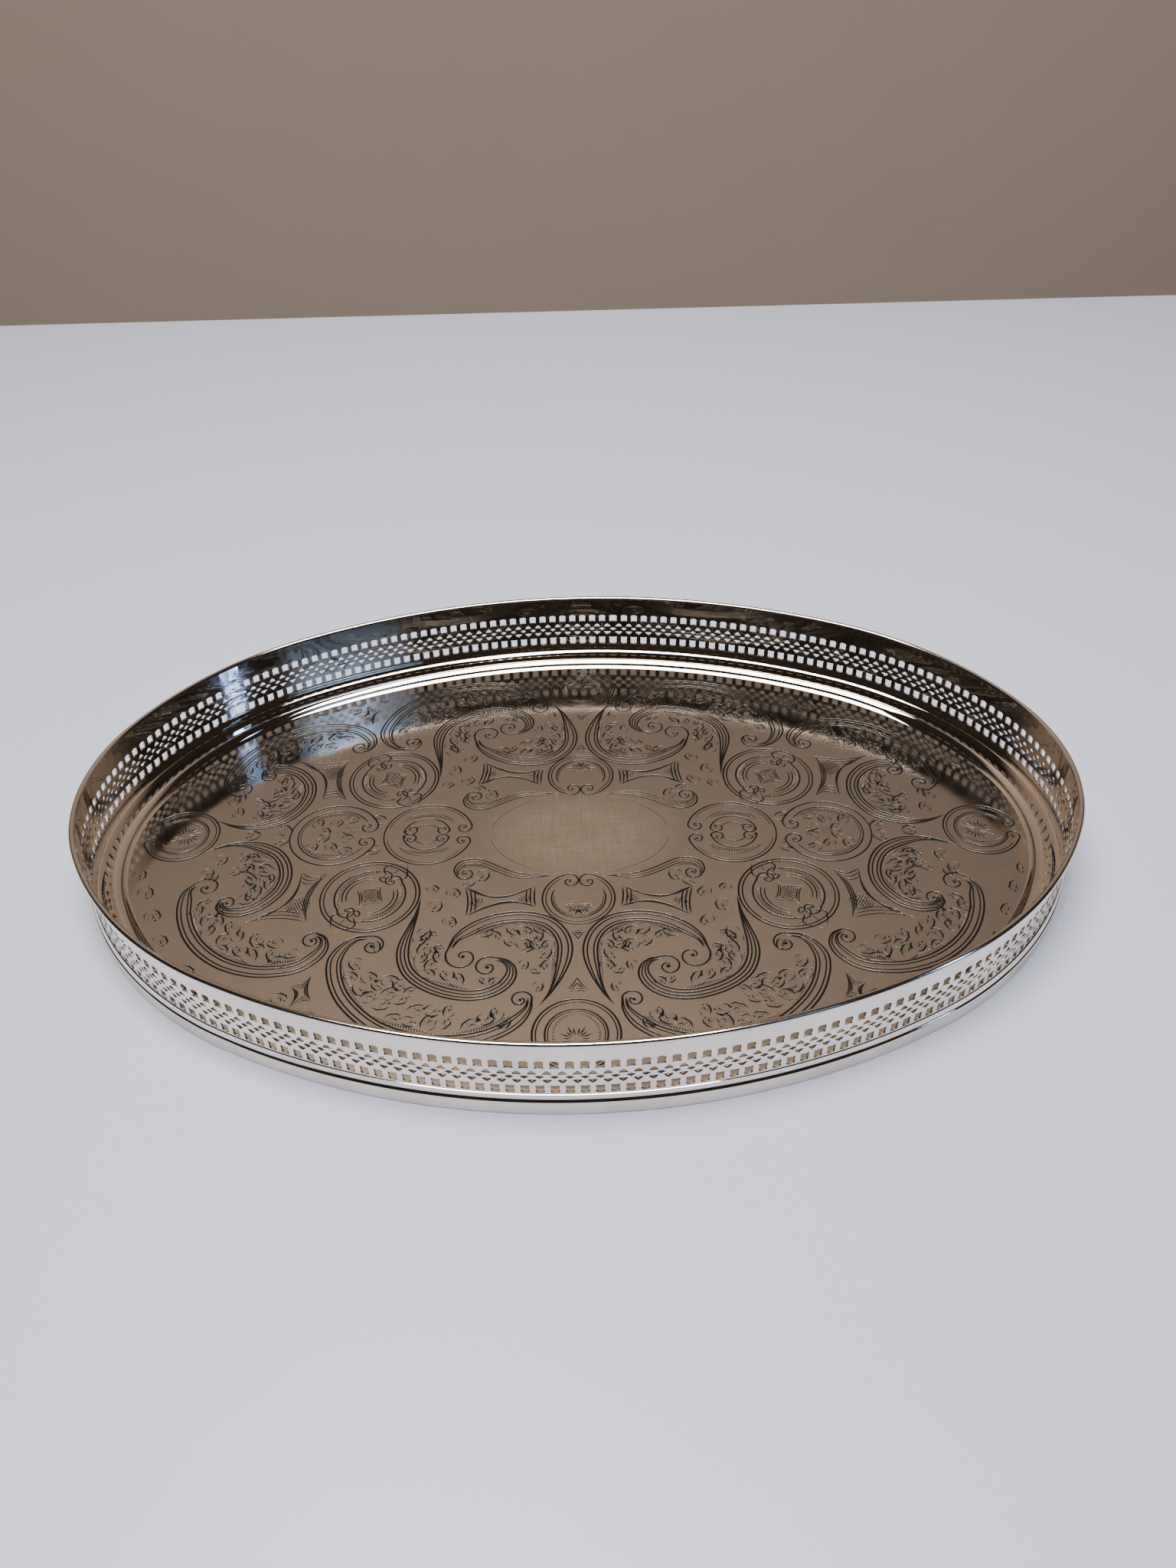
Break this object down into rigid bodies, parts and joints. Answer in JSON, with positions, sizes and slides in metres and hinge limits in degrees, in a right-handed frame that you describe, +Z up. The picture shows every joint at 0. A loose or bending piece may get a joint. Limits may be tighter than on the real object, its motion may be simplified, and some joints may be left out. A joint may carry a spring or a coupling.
{
  "type": "gallery tray",
  "caption": "Oval serving tray with an engraved flat field, a raised border, an upright pierced gallery, a wired top edge and a low foot.",
  "frame": {"origin": "centre of the oval on the table under the foot", "axes": "+X along the tray's length, +Y across its width, +Z up from the table"},
  "size_m": [0.406, 0.28, 0.0365],
  "materials": {
    "engraved_plate": "silver plate, burnished, engraved and lightly tarnished",
    "pierced_strip": "silver plate, polished",
    "polished_wire": "silver plate, polished",
    "polished_moulding": "silver plate, polished, tarnish in the cove",
    "foot_strip": "silver plate, soft polish"
  },
  "bodies": {
    "root": {"base_plate": "engraved_plate", "gallery_band": "pierced_strip", "rim_wire": "polished_wire", "outer_moulding": "polished_moulding", "foot_rim": "foot_strip"}
  },
  "joints": []
}
